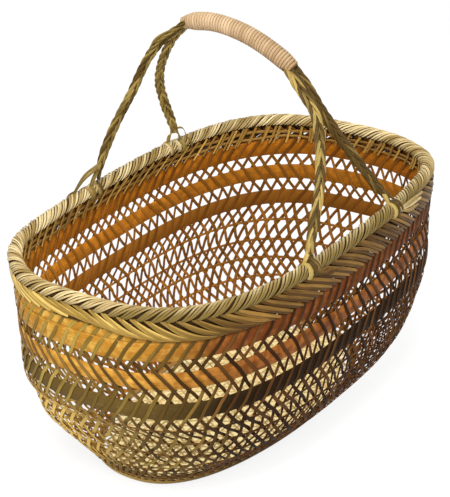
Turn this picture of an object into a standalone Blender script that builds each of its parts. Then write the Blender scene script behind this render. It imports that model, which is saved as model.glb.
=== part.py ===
"""Bamboo shopping basket: open woven oval body, plaited rim, four-legged arched handle.

Metres, +Z up, X the long axis of the mouth, the underside of the base at Z = 0.
Wall parts are placed on one surface, wall(share, height, offset): share runs round the
basket from +X, height is Z, and offset is measured outwards along the wall's normal.
"""
import math

import bmesh
import bpy
import numpy as np

RIM_HEIGHT = 0.1995
MOUTH_HALF_LENGTH = 0.2010
MOUTH_HALF_WIDTH = 0.1258
# Section of the wall at shares of the rim's height: sizes as shares of the mouth's.
LEVEL_SHARES = (0, 0.1178, 0.2481, 0.3985, 0.5489, 0.6992, 0.8496, 1)
HALF_LENGTH_SHARES = (0.7493, 0.8269, 0.8925, 0.9512, 1.033, 1.04, 1.05, 1)
HALF_WIDTH_SHARES = (0.6343, 0.7663, 0.9507, 1.016, 1.037, 1.043, 1.053, 1)
SQUARENESS_LEVEL_SHARES = (0, 0.3484, 0.599, 0.8496, 1)
SQUARENESS_SHARES = (2.31, 2.95, 2.85, 2.62, 3.00)
# The base sits a little off the middle of the mouth.
BASE_SHIFT_X = 0.0067
BASE_SHIFT_Y = 0.0134
SHIFT_START_SHARE = 0.574

STRIP_THICKNESS = 0.0007
STRIP_WIDTH = 0.0052
STRIP_LEAN_SHARE = 0.62
STRIPS_PER_WAY = 30
HOOP_THICKNESS = 0.0010
WEAVE_CLEARANCE = 0.00088
CAGE_TOP_CLEARANCE = 0.0006
CAGE_TOP_BAND = 0.0070
CAGE_BOTTOM_HEIGHT = 0.0020
CAGE_BOTTOM_BAND = 0.0050

BAND_WIDTH = 0.0147
BAND_MIDDLE_SHARES = (0.8521, 0.7244, 0.5890)
HOOP_MIDDLE_SHARES = (0.4717, 0.3794, 0.2922, 0.2105, 0.1378, 0.0752)
HOOP_WIDTH = 0.0024
BAND_STATIONS = 52
HOOP_STATIONS = 48
CURVATURE_SHARE = 0.5

BASE_THICKNESS = 0.0014
BASE_STRIPS_LONG = 5
BASE_STRIPS_SHORT = 9
BASE_STRIP_SHARE = 0.40
BASE_EDGE_CLEARANCE = 0.0004
FOOT_RING_WIDTH = 0.0034
FOOT_RING_HEIGHT = 0.0046
FOOT_RING_STATIONS = 48
FOOT_RING_CLEARANCE = 0.0005

ROLL_RADIUS = 0.0058
ROLL_BUMP_SHARE = 0.05
ROLL_STATIONS = 84
ROLL_SIDES = 6
FLANK_HEIGHT = 0.0160
FLANK_TOP_CLEARANCE = 0.0009
FLANK_THICKNESS = 0.0030
FLANK_RIDGE = 0.0008
FLANK_CLEARANCE = 0.0009
FLANK_STATIONS = 84

GRIP_TOP_HEIGHT = 0.3585
GRIP_SHIFT_X = 0.0140
GRIP_SHIFT_Y = -0.0030
GRIP_HALF_SPAN = 0.0670
GRIP_DROP = 0.0340
# The grip's arch from its +Y end: along its span, and down from its top.
GRIP_ALONG_SHARES = (1.0, 0.836, 0.433, -0.09, -0.53, -0.896, -1.0)
GRIP_DROP_SHARES = (0.544, 0.176, 0.0, 0.118, 0.397, 0.765, 1.0)
GRIP_CORE_RADIUS = 0.0053
GRIP_CORE_SIDES = 8
GRIP_STATIONS = 18
CANE_WIDTH = 0.0036
CANE_THICKNESS = 0.0014
CANE_CLEARANCE = 0.0009
CANE_TURNS = 24
CANE_STEPS_PER_TURN = 10
CANE_END_MARGIN = 0.0035

LEG_HALF_WIDTH = 0.0046
LEG_HALF_DEPTH = 0.0034
LEG_BUMP_SHARE = 0.10
LEG_SIDES = 8
LEG_STATIONS = 21
LEG_TOP_GAP = 0.0005
LEG_SPREAD = 0.0054
LEG_FOOT_GAP = 0.0004
# Where each leg stands on the rim: its X as a share of the mouth's half length.
LEG_FOOT_SHARES = {"leg_a": -0.199, "leg_b": 0.393, "leg_c": -0.338, "leg_d": 0.341}
# Points of each leg between its foot (0) and its top (1), along X, Y and Z.
LEG_SHARES = {
    "leg_a": (
        (0.902, 0.737, 0.862),
        (0.656, 0.469, 0.633),
        (0.410, 0.235, 0.404),
        (0.225, 0.126, 0.236),
        (0.061, 0.059, 0.087),
    ),
    "leg_b": (
        (0.911, 0.732, 0.835),
        (0.686, 0.441, 0.591),
        (0.485, 0.287, 0.404),
        (0.284, 0.219, 0.228),
        (0.117, 0.133, 0.087),
    ),
    "leg_c": (
        (0.885, 0.678, 0.822),
        (0.651, 0.386, 0.614),
        (0.482, 0.222, 0.441),
        (0.299, 0.149, 0.268),
        (0.117, 0.067, 0.107),
    ),
    "leg_d": (
        (0.903, 0.804, 0.787),
        (0.680, 0.620, 0.562),
        (0.456, 0.437, 0.354),
        (0.254, 0.217, 0.164),
        (0.091, 0.070, 0.055),
    ),
}
LASHING_THICKNESS = 0.0016
LASHING_WIDTH = 0.0100
LASHING_CLEARANCE = 0.0005
LASHING_STATIONS = 12
LASHING_START_ANGLE = math.radians(-8.0)
LASHING_SWEEP_ANGLE = math.radians(196.0)

SHARP_ANGLE = math.radians(40.0)

OLIVE_STRIP = (0.190, 0.130, 0.045)
WARM_STRIP = (0.400, 0.190, 0.055)
GOLD_BAND = (0.560, 0.290, 0.090)
DARK_BAND = (0.100, 0.068, 0.026)
BROWN_HOOP = (0.330, 0.190, 0.075)
BASE_OLIVE = (0.300, 0.220, 0.090)
RIM_STRAW = (0.560, 0.430, 0.170)
FLANK_STRAW = (0.430, 0.310, 0.110)
LEG_OLIVE = (0.340, 0.240, 0.085)
CANE_TAN = (0.640, 0.450, 0.280)
DRY_ROUGHNESS = 0.55
CANE_ROUGHNESS = 0.45


def smooth_table(heights, values):
    """Return a monotone cubic through the given heights and values."""
    xs = np.array(heights)
    ys = np.array(values)
    steps = np.diff(xs)
    slopes = np.diff(ys) / steps
    tangents = np.zeros(len(xs))
    tangents[0] = slopes[0]
    tangents[-1] = slopes[-1]
    for i in range(1, len(xs) - 1):
        if slopes[i - 1] * slopes[i] > 0:
            before = 2 * steps[i] + steps[i - 1]
            after = steps[i] + 2 * steps[i - 1]
            tangents[i] = (before + after) / (before / slopes[i - 1] + after / slopes[i])

    def evaluate(height):
        i = int(np.clip(np.searchsorted(xs, height) - 1, 0, len(steps) - 1))
        t = (height - xs[i]) / steps[i]
        rise = t * t * (3 - 2 * t)
        start = t * (1 - t) * (1 - t)
        end = t * t * (t - 1)
        bend = steps[i] * (start * tangents[i] + end * tangents[i + 1])
        return float(ys[i] * (1 - rise) + ys[i + 1] * rise + bend)

    return evaluate


half_length_share_at = smooth_table(LEVEL_SHARES, HALF_LENGTH_SHARES)
half_width_share_at = smooth_table(LEVEL_SHARES, HALF_WIDTH_SHARES)
squareness_at = smooth_table(SQUARENESS_LEVEL_SHARES, SQUARENESS_SHARES)


def section_point(angle, height):
    """Point of the wall's middle surface at an angle parameter and a height."""
    level = height / RIM_HEIGHT
    half_length = MOUTH_HALF_LENGTH * half_length_share_at(level)
    half_width = MOUTH_HALF_WIDTH * half_width_share_at(level)
    power = 2 / squareness_at(level)
    cosine = math.cos(angle)
    sine = math.sin(angle)
    shift = max(0, (SHIFT_START_SHARE - height / RIM_HEIGHT) / SHIFT_START_SHARE)
    x = half_length * math.copysign(abs(cosine) ** power, cosine)
    y = half_width * math.copysign(abs(sine) ** power, sine)
    return np.array((x + BASE_SHIFT_X * shift, y + BASE_SHIFT_Y * shift, height))


TABLE_STEPS = 2400
REFERENCE_SHARE = 0.7


def arc_table():
    """Angle parameters and the share of the girth reached at each of them."""
    angles = np.linspace(0, 2 * math.pi, TABLE_STEPS + 1)
    ring = np.array([section_point(a, REFERENCE_SHARE * RIM_HEIGHT) for a in angles])
    lengths = np.linalg.norm(np.diff(ring, axis=0), axis=1)
    reached = np.concatenate(((0,), np.cumsum(lengths)))
    return angles, ring, reached / reached[-1], reached[-1]


TABLE_ANGLES, TABLE_RING, TABLE_SHARES, GIRTH = arc_table()
HEIGHT_STEP = 0.0004
SHARE_STEP = 0.0008


def middle(share, height):
    """Point of the wall's middle surface at a share of the girth and a height."""
    turn = math.floor(share)
    angle = float(np.interp(share - turn, TABLE_SHARES, TABLE_ANGLES))
    return section_point(angle, height)


def wall_normal(share, height):
    """Outward unit normal of the wall."""
    low = max(0, height - HEIGHT_STEP)
    high = min(RIM_HEIGHT, height + HEIGHT_STEP)
    along = middle(share + SHARE_STEP, height) - middle(share - SHARE_STEP, height)
    up = middle(share, high) - middle(share, low)
    normal = np.cross(along, up)
    return normal / np.linalg.norm(normal)


def wall(share, height, offset):
    """Point at an offset outwards from the wall's middle surface."""
    return middle(share, height) + offset * wall_normal(share, height)


def weighted_stations(count):
    """Shares of the girth, closer together where the wall turns more."""
    steps = np.diff(TABLE_RING[:, :2], axis=0)
    headings = np.unwrap(np.arctan2(steps[:, 1], steps[:, 0]))
    turns = np.abs(np.diff(headings, append=headings[0] + 2 * math.pi))
    lengths = np.linalg.norm(steps, axis=1)
    even = lengths / lengths.sum()
    bend = np.sqrt(turns / turns.sum() * even)
    weights = (1 - CURVATURE_SHARE) * even + CURVATURE_SHARE * bend / bend.sum()
    reached = np.concatenate(((0,), np.cumsum(weights)))
    wanted = np.arange(count) / count
    return [float(s) for s in np.interp(wanted, reached, TABLE_SHARES)]


def make_material(name, colour, roughness):
    """Plain non-metal material."""
    material = bpy.data.materials.new(name)
    material.use_nodes = True
    shader = material.node_tree.nodes["Principled BSDF"]
    shader.inputs["Base Color"].default_value = (*colour, 1)
    shader.inputs["Roughness"].default_value = roughness
    shader.inputs["Metallic"].default_value = 0
    material.diffuse_color = (*colour, 1)
    return material


def add_object(name, points, faces, colour, roughness=DRY_ROUGHNESS):
    """Make one object from points and faces, with its own material."""
    mesh = bpy.data.meshes.new(name)
    mesh.from_pydata([tuple(float(c) for c in p) for p in points], [], faces)
    mesh.update()
    work = bmesh.new()
    work.from_mesh(mesh)
    bmesh.ops.recalc_face_normals(work, faces=work.faces)
    work.to_mesh(mesh)
    work.free()
    body = bpy.data.objects.new(name, mesh)
    bpy.context.scene.collection.objects.link(body)
    mesh.materials.append(make_material(name + "_surface", colour, roughness))
    mesh.shade_smooth()
    mesh.set_sharp_from_angle(angle=SHARP_ANGLE)
    return body


def loop_faces(rows, sides, closed):
    """Faces of a tube whose cross-sections are numbered one after another."""
    faces = []
    last = rows if closed else rows - 1
    for row in range(last):
        here = row * sides
        there = ((row + 1) % rows) * sides
        for side in range(sides):
            other = (side + 1) % sides
            faces.append((here + side, here + other, there + other, there + side))
    if not closed:
        faces.append(tuple(range(sides)))
        faces.append(tuple((rows - 1) * sides + side for side in range(sides)))
    return faces


def shell(name, outer, inner, faces, colour):
    """Closed thin body from two matching sets of points and one set of faces."""
    count = len(outer)
    edges = {}
    for face in faces:
        for start, end in zip(face, face[1:] + face[:1]):
            edges.setdefault(frozenset((start, end)), []).append((start, end))
    solid = list(faces)
    solid += [tuple(count + i for i in reversed(face)) for face in faces]
    for users in edges.values():
        if len(users) == 1:
            start, end = users[0]
            solid.append((end, start, count + start, count + end))
    return add_object(name, list(outer) + list(inner), solid, colour)


def hoop(name, heights, offset, thickness, stations, colour):
    """Flat ring of the wall that follows the given rising heights."""
    points = []
    for share in stations:
        points += [wall(share, height, offset + thickness / 2) for height in heights]
        points += [wall(share, height, offset - thickness / 2) for height in heights[::-1]]
    faces = loop_faces(len(stations), 2 * len(heights), True)
    return add_object(name, points, faces, colour)


def wall_lengths(heights):
    """Length down the wall's middle at each height, from the first one."""
    places = [middle(0.25, height) for height in heights]
    steps = [np.linalg.norm(b - a) for a, b in zip(places, places[1:])]
    return np.concatenate(((0,), np.cumsum(steps)))


def roll_bottom():
    """Height of the lowest point of the rim roll."""
    return RIM_HEIGHT - ROLL_RADIUS * (1 + ROLL_BUMP_SHARE)


def cage(name, lean, offset, colour):
    """All strips that lean one way, joined by a ring at the top and one at the foot."""
    bands = [RIM_HEIGHT * share for share in BAND_MIDDLE_SHARES]
    last_band = [bands[-1] + BAND_WIDTH / 2, bands[-1] - BAND_WIDTH / 2]
    hoops = [RIM_HEIGHT * share for share in HOOP_MIDDLE_SHARES]
    top = roll_bottom() - CAGE_TOP_CLEARANCE
    foot = CAGE_BOTTOM_HEIGHT
    heights = [top, top - CAGE_TOP_BAND, *bands[:-1], *last_band, *hoops]
    heights += [foot + CAGE_BOTTOM_BAND, foot]
    drops = wall_lengths(heights) * STRIP_LEAN_SHARE / GIRTH
    half_share = STRIP_WIDTH / GIRTH / 2
    outer = []
    inner = []
    for drop, height in zip(drops, heights):
        for strip in range(STRIPS_PER_WAY):
            middle_share = strip / STRIPS_PER_WAY - lean * drop
            for share in (middle_share - half_share, middle_share + half_share):
                outer.append(wall(share, height, offset + STRIP_THICKNESS / 2))
                inner.append(wall(share, height, offset - STRIP_THICKNESS / 2))
    per_row = 2 * STRIPS_PER_WAY
    faces = []
    for row in range(len(heights) - 1):
        ringed = row in (0, len(heights) - 2)
        for column in range(per_row):
            if ringed or column % 2 == 0:
                beside = (column + 1) % per_row
                here = row * per_row
                below = here + per_row
                faces.append((here + column, below + column, below + beside, here + beside))
    return shell(name, outer, inner, faces, colour)


def cage_offset():
    """Distance of a cage's middle from the hoops' middle."""
    return HOOP_THICKNESS / 2 + WEAVE_CLEARANCE + STRIP_THICKNESS / 2


def make_weave():
    """Leaning strips, wide bands and thin hoops of the wall."""
    cage("strips_outside", 1, cage_offset(), OLIVE_STRIP)
    cage("strips_inside", -1, -cage_offset(), WARM_STRIP)
    colours = (GOLD_BAND, GOLD_BAND, DARK_BAND)
    stations = weighted_stations(BAND_STATIONS)
    for number, (share, colour) in enumerate(zip(BAND_MIDDLE_SHARES, colours), 1):
        height = RIM_HEIGHT * share
        rows = (height - BAND_WIDTH / 2, height, height + BAND_WIDTH / 2)
        hoop(f"band_{number}", rows, 0, HOOP_THICKNESS, stations, colour)
    stations = weighted_stations(HOOP_STATIONS)
    for number, share in enumerate(HOOP_MIDDLE_SHARES, 1):
        height = RIM_HEIGHT * share
        rows = (height - HOOP_WIDTH / 2, height + HOOP_WIDTH / 2)
        hoop(f"hoop_{number}", rows, 0, HOOP_THICKNESS, stations, BROWN_HOOP)


def grid_cuts(strips):
    """Cuts from -1 to 1 that bound the strips and the gaps between them."""
    pitch = 2 / (strips - 1 + BASE_STRIP_SHARE)
    width = pitch * BASE_STRIP_SHARE
    cuts = []
    for strip in range(strips):
        cuts.append(-1 + strip * pitch)
        cuts.append(-1 + strip * pitch + width)
    return cuts


def make_base():
    """Flat lattice of crossing strips that the basket rests on."""
    long_cuts = grid_cuts(BASE_STRIPS_SHORT)
    short_cuts = grid_cuts(BASE_STRIPS_LONG)
    reach = cage_offset() - BASE_EDGE_CLEARANCE
    top = []
    bottom = []
    for u in long_cuts:
        for v in short_cuts:
            x = u * math.sqrt(1 - v * v / 2)
            y = v * math.sqrt(1 - u * u / 2)
            radius = math.hypot(x, y)
            angle = math.atan2(y, x)
            edge = section_point(angle, 0) - (BASE_SHIFT_X, BASE_SHIFT_Y, 0)
            place = edge * radius * (1 + reach / np.linalg.norm(edge))
            place = place + (BASE_SHIFT_X, BASE_SHIFT_Y, 0)
            bottom.append(place)
            top.append(place + (0, 0, BASE_THICKNESS))
    columns = len(short_cuts)
    faces = []
    for i in range(len(long_cuts) - 1):
        for j in range(columns - 1):
            if i % 2 == 0 or j % 2 == 0:
                corner = i * columns + j
                faces.append((corner, corner + columns, corner + columns + 1, corner + 1))
    shell("base_lattice", top, bottom, faces, BASE_OLIVE)


def level_point(share, height, offset):
    """Point at a height on the surface at an offset from the wall's middle."""
    flat = wall_normal(share, height) * (1, 1, 0)
    return middle(share, height) + flat * offset / np.dot(flat, flat)


def make_foot_ring():
    """Smooth ring round the bottom edge, outside the leaning strips."""
    inner = cage_offset() + STRIP_THICKNESS / 2 + FOOT_RING_CLEARANCE
    outer = inner + FOOT_RING_WIDTH
    points = []
    stations = weighted_stations(FOOT_RING_STATIONS)
    for share in stations:
        points += [level_point(share, 0, offset) for offset in (inner, outer)]
        points += [level_point(share, FOOT_RING_HEIGHT, offset) for offset in (outer, inner)]
    add_object("foot_ring", points, loop_faces(len(stations), 4, True), BASE_OLIVE)


def rim_frame(share):
    """Centre of the rim roll, and the outward direction there."""
    centre = middle(share, RIM_HEIGHT)
    along = middle(share + SHARE_STEP, RIM_HEIGHT) - middle(share - SHARE_STEP, RIM_HEIGHT)
    out = np.array((along[1], -along[0], 0))
    return centre, out / np.linalg.norm(out)


def make_rim():
    """Roll of slanted strand bundles, and the herringbone flank under it."""
    points = []
    for row in range(ROLL_STATIONS):
        centre, out = rim_frame(row / ROLL_STATIONS)
        for side in range(ROLL_SIDES):
            angle = 2 * math.pi * side / ROLL_SIDES
            bump = math.cos(angle + math.pi * row) * ROLL_BUMP_SHARE
            radius = ROLL_RADIUS * (1 + bump)
            lift = np.array((0, 0, math.sin(angle)))
            points.append(centre + radius * (math.cos(angle) * out + lift))
    add_object("rim_roll", points, loop_faces(ROLL_STATIONS, ROLL_SIDES, True), RIM_STRAW)
    inner = cage_offset() + STRIP_THICKNESS / 2 + FLANK_CLEARANCE
    top = roll_bottom() - FLANK_TOP_CLEARANCE
    bottom = top - FLANK_HEIGHT
    middle_height = (bottom + top) / 2
    points = []
    for row in range(FLANK_STATIONS):
        share = row / FLANK_STATIONS
        ridge = FLANK_RIDGE if row % 2 else -FLANK_RIDGE
        face = inner + FLANK_THICKNESS
        points.append(wall(share, bottom, inner))
        points.append(wall(share, bottom, face - ridge))
        points.append(wall(share, middle_height, face + ridge))
        points.append(wall(share, top, face - ridge))
        points.append(wall(share, top, inner))
    add_object("rim_flank", points, loop_faces(FLANK_STATIONS, 5, True), FLANK_STRAW)


def path_points(controls, count):
    """Evenly spaced points on a smooth curve through the control points."""
    pins = np.array(controls)
    spans = np.linalg.norm(np.diff(pins, axis=0), axis=1)
    reached = np.concatenate(((0,), np.cumsum(spans)))
    curves = [smooth_curve(reached, pins[:, axis]) for axis in range(3)]
    wanted = np.linspace(0, reached[-1], count)
    return np.array([[curve(s) for curve in curves] for s in wanted])


def smooth_curve(reached, values):
    """Return a cubic through values given at increasing distances."""
    tangents = np.gradient(values, reached)

    def evaluate(distance):
        i = int(np.clip(np.searchsorted(reached, distance) - 1, 0, len(reached) - 2))
        step = reached[i + 1] - reached[i]
        t = (distance - reached[i]) / step
        rise = t * t * (3 - 2 * t)
        start = t * (1 - t) * (1 - t)
        end = t * t * (t - 1)
        bend = step * (start * tangents[i] + end * tangents[i + 1])
        return values[i] * (1 - rise) + values[i + 1] * rise + bend

    return evaluate


def path_frames(points, side_hint):
    """Tangent, side and upper direction at each point of a path."""
    tangents = np.gradient(points, axis=0)
    frames = []
    for tangent in tangents:
        forward = tangent / np.linalg.norm(tangent)
        side = side_hint - forward * np.dot(side_hint, forward)
        side = side / np.linalg.norm(side)
        frames.append((forward, side, np.cross(forward, side)))
    return frames


def grip_points():
    """Control points of the grip's arch, from its +Y end."""
    points = []
    for along, drop in zip(GRIP_ALONG_SHARES, GRIP_DROP_SHARES):
        y = GRIP_SHIFT_Y + along * GRIP_HALF_SPAN
        points.append((GRIP_SHIFT_X, y, GRIP_TOP_HEIGHT - drop * GRIP_DROP))
    return points


def rim_share(x, side):
    """Share of the girth at which the rim has a given X on one long side."""
    shares = np.arange(TABLE_STEPS) / TABLE_STEPS
    ring = np.array([middle(share, RIM_HEIGHT) for share in shares])
    gaps = np.abs(ring[:, 0] - x) + (ring[:, 1] * side < 0) * GIRTH
    return float(shares[int(np.argmin(gaps))])


def leg_places():
    """For each leg: its rim share, the points of its middle line and its top direction."""
    arch = path_points(grip_points(), GRIP_STATIONS)
    ends = {1: (arch[0], arch[0] - arch[1]), -1: (arch[-1], arch[-1] - arch[-2])}
    seat = ROLL_RADIUS * (1 + ROLL_BUMP_SHARE) + LASHING_CLEARANCE + LASHING_THICKNESS
    places = {}
    for name, shares in LEG_SHARES.items():
        side = 1 if name in ("leg_a", "leg_b") else -1
        spread = -LEG_SPREAD if name in ("leg_a", "leg_c") else LEG_SPREAD
        end, away = ends[side]
        away = away / np.linalg.norm(away)
        top = end + away * LEG_TOP_GAP + (spread, 0, 0)
        share = rim_share(LEG_FOOT_SHARES[name] * MOUTH_HALF_LENGTH, side)
        foot = middle(share, RIM_HEIGHT) + (0, 0, seat + LEG_FOOT_GAP)
        between = [foot + (top - foot) * np.array(bend) for bend in shares]
        places[name] = (share, [top, *between, foot], away)
    return places


def make_legs(places):
    """Four plaited legs that carry the grip."""
    hint = np.array((1, 0, 0))
    down = np.array((0, 0, -1))
    for name, (_, controls, away) in places.items():
        centres = path_points(controls, LEG_STATIONS)
        frames = path_frames(centres, hint)
        # The top is square to the grip's end, and the foot is level on its lashing.
        frames[0] = (away, hint, np.cross(away, hint))
        frames[-1] = (down, hint, np.cross(down, hint))
        points = []
        for row, (centre, (_, side, over)) in enumerate(zip(centres, frames)):
            for corner in range(LEG_SIDES):
                angle = 2 * math.pi * corner / LEG_SIDES
                swell = 1 + LEG_BUMP_SHARE * math.cos(angle + math.pi * row)
                wide = side * (math.cos(angle) * LEG_HALF_WIDTH)
                deep = over * (math.sin(angle) * LEG_HALF_DEPTH)
                points.append(centre + swell * (wide + deep))
        add_object(name, points, loop_faces(LEG_STATIONS, LEG_SIDES, False), LEG_OLIVE)


def make_grip():
    """Round core of the grip, and the cane wound round it."""
    hint = np.array((1, 0, 0))
    centres = path_points(grip_points(), GRIP_STATIONS)
    points = []
    for centre, (forward, side, over) in zip(centres, path_frames(centres, hint)):
        for corner in range(GRIP_CORE_SIDES):
            angle = 2 * math.pi * corner / GRIP_CORE_SIDES
            spoke = math.cos(angle) * side + math.sin(angle) * over
            points.append(centre + GRIP_CORE_RADIUS * spoke)
    add_object("grip_core", points, loop_faces(GRIP_STATIONS, GRIP_CORE_SIDES, False), LEG_OLIVE)
    wind_cane(hint)


def wind_cane(hint):
    """One unbroken cane wound from end to end of the grip."""
    steps = CANE_TURNS * CANE_STEPS_PER_TURN + 1
    centres = path_points(grip_points(), 2 * steps)
    lengths = np.linalg.norm(np.diff(centres, axis=0), axis=1)
    reached = np.concatenate(((0,), np.cumsum(lengths)))
    frames = path_frames(centres, hint)
    wanted = np.linspace(CANE_END_MARGIN, reached[-1] - CANE_END_MARGIN, steps)
    inner = GRIP_CORE_RADIUS + CANE_CLEARANCE
    points = []
    for step, distance in enumerate(wanted):
        i = max(0, int(np.searchsorted(reached, distance)) - 1)
        forward, side, over = frames[i]
        centre = centres[i] + forward * (distance - reached[i])
        angle = 2 * math.pi * step / CANE_STEPS_PER_TURN
        spoke = math.cos(angle) * side + math.sin(angle) * over
        outer = inner + CANE_THICKNESS
        points.append(centre + inner * spoke - forward * (CANE_WIDTH / 2))
        points.append(centre + outer * spoke - forward * (CANE_WIDTH / 4))
        points.append(centre + outer * spoke + forward * (CANE_WIDTH / 4))
        points.append(centre + inner * spoke + forward * (CANE_WIDTH / 2))
    add_object("grip_cane", points, loop_faces(steps, 4, False), CANE_TAN, CANE_ROUGHNESS)
    report_cane_gap(np.array(points))


def report_cane_gap(points):
    """Print the least gap from one turn of the cane to the next."""
    leading = points[3::4]
    trailing = points[::4]
    turn = CANE_STEPS_PER_TURN
    near = turn // 2
    gaps = []
    for step in range(turn + near, len(trailing)):
        behind = leading[step - turn - near : step - near]
        gaps.append(np.linalg.norm(behind - trailing[step], axis=1).min())
    print(f"least gap between turns of the cane: {min(gaps):.5f} m")


def make_lashings(places):
    """Flat lashings that pass over the rim roll under each leg."""
    inner = ROLL_RADIUS * (1 + ROLL_BUMP_SHARE) + LASHING_CLEARANCE
    for name, (share, _, _) in places.items():
        centre, out = rim_frame(share)
        along = np.cross(out, (0, 0, 1)) * (LASHING_WIDTH / 2)
        points = []
        for row in range(LASHING_STATIONS):
            angle = LASHING_START_ANGLE + LASHING_SWEEP_ANGLE * row / (LASHING_STATIONS - 1)
            spoke = math.cos(angle) * out + np.array((0, 0, math.sin(angle)))
            near = centre + inner * spoke
            far = near + LASHING_THICKNESS * spoke
            points += [near - along, far - along, far + along, near + along]
        lashing = name.replace("leg", "lashing")
        add_object(lashing, points, loop_faces(LASHING_STATIONS, 4, False), RIM_STRAW)


def main():
    """Clear the scene and build every part."""
    for item in list(bpy.data.objects):
        bpy.data.objects.remove(item)
    make_weave()
    make_base()
    make_foot_ring()
    make_rim()
    places = leg_places()
    make_legs(places)
    make_grip()
    make_lashings(places)


main()
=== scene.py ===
"""Looks of the bamboo shopping basket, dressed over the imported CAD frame.

Every strand is a line of points with an outward direction. One Geometry Nodes tree sweeps
the lines of a piece into split bamboo, and the result is kept as a plain mesh.
"""
import math

import bpy
import numpy as np
from mathutils import Matrix, Vector


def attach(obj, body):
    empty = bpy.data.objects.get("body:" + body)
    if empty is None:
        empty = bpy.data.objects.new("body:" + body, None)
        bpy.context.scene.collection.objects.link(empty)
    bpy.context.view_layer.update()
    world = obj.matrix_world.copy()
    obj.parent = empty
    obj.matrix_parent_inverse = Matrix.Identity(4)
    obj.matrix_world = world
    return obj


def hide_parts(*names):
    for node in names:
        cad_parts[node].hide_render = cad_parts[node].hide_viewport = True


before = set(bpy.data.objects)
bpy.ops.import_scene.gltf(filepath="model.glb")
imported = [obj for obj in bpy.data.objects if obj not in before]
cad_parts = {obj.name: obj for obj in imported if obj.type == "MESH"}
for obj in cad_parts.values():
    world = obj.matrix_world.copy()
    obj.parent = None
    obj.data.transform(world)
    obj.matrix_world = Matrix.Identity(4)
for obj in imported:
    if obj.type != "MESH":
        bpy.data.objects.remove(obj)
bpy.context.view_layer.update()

# The wall's surface, in the same sizes as the CAD model.
RIM_HEIGHT = 0.1995
MOUTH_HALF_LENGTH = 0.2010
MOUTH_HALF_WIDTH = 0.1258
LEVEL_SHARES = (0, 0.1178, 0.2481, 0.3985, 0.5489, 0.6992, 0.8496, 1)
HALF_LENGTH_SHARES = (0.7493, 0.8269, 0.8925, 0.9512, 1.033, 1.04, 1.05, 1)
HALF_WIDTH_SHARES = (0.6343, 0.7663, 0.9507, 1.016, 1.037, 1.043, 1.053, 1)
SQUARENESS_LEVEL_SHARES = (0, 0.3484, 0.599, 0.8496, 1)
SQUARENESS_SHARES = (2.31, 2.95, 2.85, 2.62, 3.00)
BASE_SHIFT = (0.0067, 0.0134)
SHIFT_START_SHARE = 0.574
TABLE_STEPS = 2400
REFERENCE_SHARE = 0.7

SEED = 11
TURN = 2 * math.pi
# Sizes of strips are given as width and thickness.
STRIPS_PER_WAY = 98
STRIP_SIZE = (0.0030, 0.00045)
STRIP_TOP = 0.1935
STRIP_BOTTOM = 0.0015
STRIP_STEPS = 72
# Sideways wavers of a strip: how far, and over what height.
STRIP_WAVERS = ((0.0007, 0.058), (0.0004, 0.025))
# Strips are wider below the bands, and a little slimmer again on the lower wall.
LOW_WIDENING = 0.10
WIDENING_TOP = 0.108
WIDENING_FADE = 0.01
SLIM_HEIGHTS = (0.075, 0.100)
# The pale left end, painted light on the strips: its share, its reach along the girth, and the
# heights where it fades.
LIT_END = 0.425
LIT_REACH = (0.035, 0.115)
LIT_TOP = 0.100
LIT_TOP_FADE = (-0.008, 0.012)
LIT_LOW_HEIGHTS = (0.002, 0.034)
# The dark corner above the foot at the front left, painted shade where the wall turns under: its
# share, its reach and its heights.
SHADE_CORNER = 0.525
SHADE_CORNER_REACH = (0.030, 0.070)
SHADE_CORNER_HEIGHTS = (0.006, 0.038)
SHADE_CORNER_DEPTH = 0.9
WEAVE_DEPTH = 0.00115
WEAVE_FLATNESS = 1.5
BAND_MIDDLE_SHARES = (0.8521, 0.7244, 0.5890)
BAND_THICKNESS = 0.0009
# The strip of band that reaches higher at the left end.
HIGH_BAND_SHARES = (0.36, 0.60)
HIGH_BAND_HEIGHT = 0.1835
HIGH_BAND_OFFSET = -0.0003
HIGH_BAND_SIZE = (0.0160, BAND_THICKNESS)
HOOP_MIDDLE_SHARES = (0.4717, 0.3794, 0.2922, 0.2105, 0.1378, 0.0752)
HOOP_SIZE = (0.0024, 0.0008)
RING_STEPS = 360
# Turns of the weave reached at each level, in strip pitches, from the first band down.
PHASE_LEVEL_SHARES = (0.0, *HOOP_MIDDLE_SHARES[::-1], *BAND_MIDDLE_SHARES[::-1], 1.0)
PHASES = (-10.6, -9.25, -8.25, -7.25, -6.25, -5.25, -4.25, -3.0, -1.5, 0.0, 1.75)
# Steps along the girth and upwards over which the wall's slope is measured.
SHARE_STEP = 0.0008
HEIGHT_STEP = 0.0005


def table(xs, ys):
    """Return a monotone cubic through the given values, for arrays."""
    xs = np.array(xs, float)
    ys = np.array(ys, float)
    steps = np.diff(xs)
    slopes = np.diff(ys) / steps
    tangents = np.zeros(len(xs))
    tangents[0] = slopes[0]
    tangents[-1] = slopes[-1]
    for i in range(1, len(xs) - 1):
        if slopes[i - 1] * slopes[i] > 0:
            before = 2 * steps[i] + steps[i - 1]
            after = steps[i] + 2 * steps[i - 1]
            tangents[i] = (before + after) / (before / slopes[i - 1] + after / slopes[i])

    def evaluate(value):
        value = np.asarray(value, float)
        i = np.clip(np.searchsorted(xs, value) - 1, 0, len(steps) - 1)
        t = (value - xs[i]) / steps[i]
        rise = t * t * (3 - 2 * t)
        bend = t * (1 - t) * (1 - t) * tangents[i] + t * t * (t - 1) * tangents[i + 1]
        return ys[i] * (1 - rise) + ys[i + 1] * rise + bend * steps[i]

    return evaluate


length_share_at = table(LEVEL_SHARES, HALF_LENGTH_SHARES)
width_share_at = table(LEVEL_SHARES, HALF_WIDTH_SHARES)
squareness_at = table(SQUARENESS_LEVEL_SHARES, SQUARENESS_SHARES)
phase_at = table(PHASE_LEVEL_SHARES, PHASES)


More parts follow.
